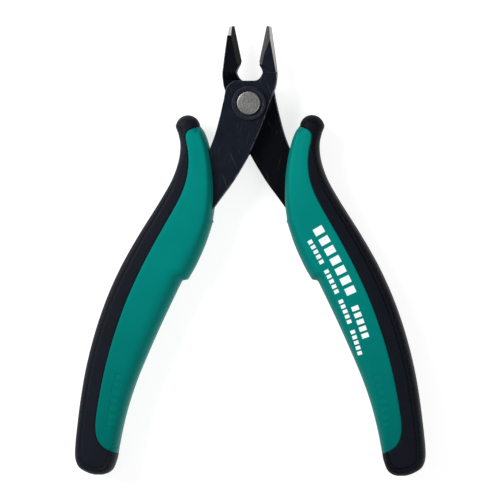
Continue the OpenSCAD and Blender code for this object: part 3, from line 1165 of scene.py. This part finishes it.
@dataclass(frozen=True)
class Grip:
    """A two-colour grip, drawn for the closed tool's left half; lengths in millimetres.

    Both pieces share one rounded form. A seam runs along it, and a groove is rolled into the seam. A
    profile gives a size at some distances down from the rivet; the swell is a share of the full
    thickness. The keys pair places of the seam with the places of an edge that they face.
    """

    side: Side
    horn: Point = (-15.5, -9.9)
    horn_r: float = 3.35
    horn_end: float = 190  # the angle at which the horn's rounding meets the outer line, in degrees
    top: Point = (-12.22, -9.0)
    bottom: Point = (-16.4, -101.85)
    slack: float = 0.12
    groove: float = 0.38
    crease: float = 0.3
    crease_width: float = 0.22
    crease_start: Point = (20, 34)
    crown: float = 0.35
    crown_reach: float = 6.5
    least_half: float = 0.2
    swell: Profile = (
        (6, 0.7), (10, 0.73), (12, 0.77), (15, 0.84), (19, 0.93), (24, 1), (98, 1), (104, 0.985), (109, 0.96),
    )
    outer_width: Profile = ((6, 3.1), (12, 2.6), (20, 1.3), (35, 1.5), (50, 1.9), (100, 1.7), (109, 2.0))
    outer_depth: Profile = ((6, 3.3), (14, 3.2), (24, 2.6), (100, 2.8), (109, 3))
    inner_width: Profile = ((9, 1.3), (20, 1.6), (34, 2.6), (46, 4.2), (60, 4.0), (95, 2.6), (102, 2.0))
    inner_depth: Profile = ((9, 2.6), (20, 3.2), (40, 4), (90, 3.4))
    step: float = 0.45
    end_step: float = 0.22
    least_steps: int = 10
    seam_rings: tuple[float, ...] = (0, 0.03, 0.08, 0.15, 0.25, 0.4)
    seam_share: float = 0.25
    middle_rings: int = 9
    edge_rings: tuple[float, ...] = (90, 78, 66, 54, 42, 30, 18, 6, 0)
    crease_rings: tuple[float, ...] = (1.3, 1.2, 1.1, 1.05)
    edge_share: float = 0.6
    # painted shade: how much darker the right cushion's rubber and its rounded sides are painted, with less
    # shine
    right_rubber_painted_shade: float = 0.8
    right_rubber_side_painted_shade: float = 0.3
    right_rubber_shine: float = 0.06
    outer_line: tuple[Point, ...] = (
        (-17.65, -12.3), (-16.45, -15.2), (-15.95, -19.5), (-16.6, -24.8), (-18.4, -30.5), (-20.13, -35.2),
        (-22.15, -40.5), (-24.25, -46.6), (-25.87, -52), (-27.38, -58.5), (-28.52, -65.5), (-29.25, -73),
        (-29.53, -81), (-29.27, -89), (-28.7, -96.5), (-28.0, -103.2), (-27.1, -106.4), (-25.4, -108.2),
        (-22, -109), (-18.8, -108.4), (-17.0, -106.7), (-16.45, -103.9),
    )
    inner_upper: tuple[Point, ...] = (
        (-10.7, -10.5), (-9, -13.3), (-7, -18), (-5.3, -23.4), (-4.1, -29), (-3.72, -33.2), (-3.66, -33.7),
        (-3.3, -34.0), (-3.64, -34.4), (-3.66, -34.9), (-4.3, -40.5), (-5.65, -46.6), (-6.85, -50.3),
        (-7.2, -51.1),
    )
    inner_lower: tuple[Point, ...] = (
        (-8.35, -51.5), (-8.8, -52.4), (-10.4, -58.6), (-12.1, -65.6), (-13.72, -73), (-15.25, -80.8),
        (-16.2, -88.4), (-16.5, -95.6),
    )
    seam_line: tuple[Point, ...] = (
        (-13.7, -9.85), (-14.9, -10.8), (-15.3, -12.1), (-14.8, -13.8), (-13.8, -16.2), (-12.9, -19.4),
        (-12.5, -23.5), (-13, -28), (-14.3, -32.7), (-15.9, -37.6), (-17.5, -42.5), (-19.7, -50),
        (-21.9, -59.5), (-23.3, -69), (-24, -78), (-24.05, -87), (-23.6, -94.6), (-22.5, -98.5),
        (-20.8, -100.5), (-18.6, -101.5),
    )
    panel_keys: Keys = (
        ((-15.3, -12.1), (-10.3, -11.1)), ((-12.5, -23.5), (-5.3, -23.4)), ((-16.8, -40.5), (-4.3, -40.5)),
        ((-20.2, -52.2), (-8.4, -51.0)), ((-24, -82), (-15.4, -82)), ((-22.7, -98), (-16.4, -97.6)),
    )
    cushion_keys: Keys = (
        ((-14.9, -10.8), (-18.0, -7.7)), ((-15.25, -12.6), (-18.6, -11)), ((-12.9, -19.4), (-16.1, -19.5)),
        ((-16.8, -40.5), (-22.2, -40.5)), ((-24, -82), (-29.6, -82)), ((-23.3, -96.2), (-28.9, -97.6)),
        ((-21.6, -99.8), (-27, -107)), ((-18.6, -101.5), (-19.5, -108.6)),
    )

    def stretch(self) -> float:
        """How much longer the model's grip is than the drawn one.

        Returns:
            The factor.
        """
        cushion = frame["nodes"][f"{self.side.value}_grip_cushion"].data.vertices
        lowest = HINGE.draw(np.array([v.co for v in cushion]), self.side)[:, 1].min()
        return float((lowest + self.slack) / self.curves()[0][:, 1].min())

    def curves(self) -> tuple[np.ndarray, np.ndarray, np.ndarray]:
        """The grip's three lines, each from the top of the seam to its bottom.

        Returns:
            The outer edge, the inner edge and the seam.
        """
        tip = math.degrees(math.atan2(self.top[1] - self.horn[1], self.top[0] - self.horn[0]))
        round_horn = arc(self.horn, self.horn_r, tip, self.horn_end, 10)
        outer = smooth_curve([*round_horn, *self.outer_line, self.bottom])
        upper = smooth_curve([self.top, *self.inner_upper])
        lower = smooth_curve([*self.inner_lower, self.bottom])
        seam = smooth_curve([self.top, *self.seam_line, self.bottom])
        return outer, np.vstack([upper, lower]), seam

    def half_height(self, points: np.ndarray) -> np.ndarray:
        """Half the grip's thickness at each point of its plan.

        Args:
            points: Rows of x and y.

        Returns:
            One height for each point.
        """
        outer, inner, seam = self.curves()
        low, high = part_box(f"{self.side.value}_grip_cushion")
        down = -points[:, 1]
        from_outer, from_inner = distance_to(points, outer), distance_to(points, inner)
        bevel = value_at(down, self.outer_width)
        drop = np.maximum(
            round_over(from_outer, bevel, value_at(down, self.outer_depth)),
            round_over(from_inner, value_at(down, self.inner_width), value_at(down, self.inner_depth)),
        )
        nearest = np.clip(np.minimum(from_outer, from_inner) / self.crown_reach, 0, 1)
        crown = self.crown * (1 - nearest) ** 2
        line = np.exp(-(((from_outer - bevel) / self.crease_width) ** 2))
        crease = self.crease * ease(down, *self.crease_start) * line
        roll = round_over(distance_to(points, seam), self.groove, self.groove)
        half = (high.z - low.z) / 2 / MM * value_at(down, self.swell)
        return np.maximum(half - crown - crease - drop - roll, self.least_half)

    def rows(self, seam: np.ndarray, edge: np.ndarray, keys: Keys) -> tuple[np.ndarray, np.ndarray]:
        """Matching points along the seam and an edge.

        Args:
            seam: The seam.
            edge: The edge on the other side of the piece.
            keys: Places of the two that face each other.

        Returns:
            The points on the seam, and those on the edge.
        """
        marks = [(0.0, 0.0)]
        marks += [(length_at(seam, a), length_at(edge, b)) for a, b in keys]
        marks += [(lengths_along(seam)[-1], lengths_along(edge)[-1])]
        pairs = []
        for k, ((a0, b0), (a1, b1)) in enumerate(zip(marks, marks[1:])):
            ends = k in (0, len(marks) - 2)
            length = max(a1 - a0, b1 - b0)
            count = max(self.least_steps, math.ceil(length / (self.end_step if ends else self.step)))
            t = np.arange(count) / count
            pairs.append(np.stack([a0 + (a1 - a0) * t, b0 + (b1 - b0) * t], axis=1))
        lengths = np.vstack([*pairs, [marks[-1]]])
        return at_lengths(seam, lengths[:, 0]), at_lengths(edge, lengths[:, 1])

    def across(self, width: np.ndarray, down: np.ndarray, edge: Edge) -> np.ndarray:
        """Where the rings of points lie between the seam and an edge, close together at both.

        Args:
            width: Distance from the seam to the edge, for each pair of facing points.
            down: Distance of that edge's point down from the rivet.
            edge: Which edge it is.

        Returns:
            A row for each pair, from 0 at the seam to 1 at the edge.
        """
        reach = value_at(down, self.inner_width if edge is Edge.INNER else self.outer_width)
        near = np.array(self.seam_rings)
        near = near[None] * np.minimum(1, width * self.seam_share / near[-1])[:, None]
        far = 1 - np.cos(np.radians(self.edge_rings))
        if edge is Edge.OUTER:
            far = np.concatenate([self.crease_rings, far])
        far = far[None] * (reach * np.minimum(1, width * self.edge_share / (reach * far[0])))[:, None]
        middle = np.linspace(near[:, -1], width - far[:, 0], self.middle_rings)[1:-1].T
        return np.hstack([near, middle, width[:, None] - far]) / np.maximum(width, TINY)[:, None]

    def shell(self, name: str, edge: Edge, keys: Keys) -> bpy.types.Object:
        """Makes one of the grip's two pieces, between the seam and an edge.

        Args:
            name: The piece's name.
            edge: Which edge.
            keys: Places of the seam and the edge that face each other.

        Returns:
            The piece.
        """
        outer, inner, seam = self.curves()
        on_seam, on_edge = self.rows(seam, inner if edge is Edge.INNER else outer, keys)
        steps = self.across(np.linalg.norm(on_edge - on_seam, axis=1), -on_edge[:, 1], edge)
        plan = on_seam[:, None] + (on_edge - on_seam)[:, None] * steps[..., None]
        flat = plan.reshape(-1, 2)
        height = self.half_height(flat)
        flat = flat * (1, self.stretch())
        count, across = steps.shape
        upper = np.column_stack([flat, height])
        lower = np.column_stack([flat, -height])
        half = count * across
        faces = []
        for i in range(count - 1):
            for k in range(across - 1):
                a, b = i * across + k, (i + 1) * across + k
                faces += [(a, a + 1, b + 1, b), (half + a, half + b, half + b + 1, half + a + 1)]
            for k in (0, across - 1):
                a, b = i * across + k, (i + 1) * across + k
                faces.append((a, b, half + b, half + a))
        points = np.clip(HINGE.place(np.vstack([upper, lower]), self.side), *CAD_BOX)
        made = piece(name, points, faces)
        self.map_print(made, seam)
        return made

    def map_print(self, made: bpy.types.Object, seam: np.ndarray) -> None:
        """Stores how far each point of a piece lies along the seam and across from it.

        Args:
            made: The piece.
            seam: The seam.
        """
        points = HINGE.draw(np.array([v.co for v in made.data.vertices]), self.side)[:, :2]
        across, along = nearest_on(points / (1, self.stretch()), seam)
        layer = made.data.uv_layers.new(name="grip")
        for loop in made.data.loops:
            k = loop.vertex_index
            layer.data[loop.index].uv = (along[k] / MAP_MM, across[k] / MAP_MM)

    def build(self) -> list[bpy.types.Object]:
        """Makes and dresses the green body and the black cushion.

        Returns:
            The two pieces.
        """
        name = self.side.value
        body = self.shell(f"{name}_grip_panel", Edge.INNER, self.panel_keys)
        printed = Print.BARS if self.side is Side.RIGHT else Print.NONE
        green = GreenPlastic(f"green_plastic_{name}", printed)
        dress(body, green.material(), "green_plastic", self.side.body, f"{name}_grip_body")
        cushion = self.shell(f"{name}_grip_rubber", Edge.OUTER, self.cushion_keys)
        rubber = BlackRubber(f"black_rubber_{name}")
        # painted shade: the right cushion gets a darker copy of the rubber, with darker rounded sides and
        # less shine, because the light falls from the left
        if self.side is Side.RIGHT:
            rubber = replace(
                rubber,
                base=shaded(rubber.base, self.right_rubber_painted_shade),
                shine=self.right_rubber_shine,
                rounded_painted_shade=self.right_rubber_side_painted_shade,
            )
        dress(cushion, rubber.material(), "black_rubber", self.side.body, f"{name}_grip_cushion")
        return [body, cushion]


# ---------------------------------------------------------------- the picture


@dataclass(frozen=True)
class Lamp:
    """A square soft light: its name, where it hangs, the length of its sides in metres and its watts."""

    name: str
    place: tuple[float, float, float]
    size: float
    watts: float


@dataclass(frozen=True)
class Studio:
    """A pale floor, soft light and a camera that looks almost straight down; lengths in metres."""

    lens: float = 400.0
    sensor: float = 36.0
    view_width: float = 0.1371
    middle: float = -0.0404
    lean: float = 0.16
    floor: float = 3.0
    floor_depth: float = 0.0001
    floor_tones: Point = (0.44, 0.46)
    floor_glow: float = 0.76
    floor_cloud: float = 60.0  # in millimetres
    floor_roughness: float = 0.9
    sky: float = 0.26
    lamps: tuple[Lamp, ...] = (
        Lamp("soft_box", (-0.62, 0.36, 0.5), 0.5, 8.2),
        Lamp("fill_box", (0.62, -0.3, 0.62), 0.6, 3.6),
    )

    def aim(self, made: bpy.types.Object, place: Vector, target: Vector) -> None:
        """Puts a camera or light at a place, facing a target, with the tool's length upright.

        Args:
            made: The camera or light.
            place: Its place.
            target: What it faces.
        """
        back = (place - target).normalized()
        right = TIPWARD.cross(back).normalized()
        turn = Matrix((right, back.cross(right), back)).transposed()
        made.matrix_world = Matrix.Translation(place) @ turn.to_4x4()
        bpy.context.scene.collection.objects.link(made)

    def camera(self) -> None:
        """Sets the camera high over the tool, a little towards the right."""
        data = bpy.data.cameras.new("camera")
        data.lens, data.sensor_width = self.lens, self.sensor
        made = bpy.data.objects.new("camera", data)
        target = HINGE.centre + Vector((0, self.middle, 0))
        height = self.view_width * self.lens / self.sensor
        self.aim(made, target + Vector((self.lean, 0, height)), target)
        bpy.context.scene.camera = made

    def ground(self) -> None:
        """Lays the floor just under the tool."""
        s = Sheet("pale_floor")
        s.finish(
            Base_Color=s.mix(s.noise(self.floor_cloud, detail=2), *(grey(tone) for tone in self.floor_tones)),
            Roughness=self.floor_roughness,
            Emission_Color=WHITE,
            Emission_Strength=self.floor_glow,
        )
        half = self.floor / 2
        corners = [(-half, -half, 0), (half, -half, 0), (half, half, 0), (-half, half, 0)]
        mesh = bpy.data.meshes.new("floor")
        mesh.from_pydata(corners, [], [(0, 1, 2, 3)])
        made = bpy.data.objects.new("floor", mesh)
        made.location.z = -self.floor_depth
        mesh.materials.append(s.material)
        bpy.context.scene.collection.objects.link(made)

    def light(self) -> None:
        """Lights the tool from all round, and a little more from the upper left."""
        world = bpy.data.worlds.new("studio")
        world.use_nodes = True
        background = world.node_tree.nodes["Background"]
        background.inputs["Color"].default_value = WHITE
        background.inputs["Strength"].default_value = self.sky
        bpy.context.scene.world = world
        bpy.context.scene.view_settings.view_transform = "Standard"
        for lamp in self.lamps:
            data = bpy.data.lights.new(lamp.name, "AREA")
            data.shape, data.size, data.energy = "SQUARE", lamp.size, lamp.watts
            self.aim(bpy.data.objects.new(lamp.name, data), Vector(lamp.place), Vector((0, 0, 0)))

    def build(self) -> None:
        """Sets up the camera, the floor and the light."""
        self.camera()
        self.ground()
        self.light()


def main() -> None:
    """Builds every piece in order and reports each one."""
    logging.basicConfig(level=logging.INFO, format="%(name)s: %(message)s")
    assemblies = [*map(Lever, Side), Pivot(), ReturnSpring(), *map(Grip, Side)]
    for assembly in assemblies:
        for made in assembly.build():
            LOG.info("%s: %d faces", made.name, len(made.data.polygons))
    Studio().build()


if __name__ == "__main__":
    main()
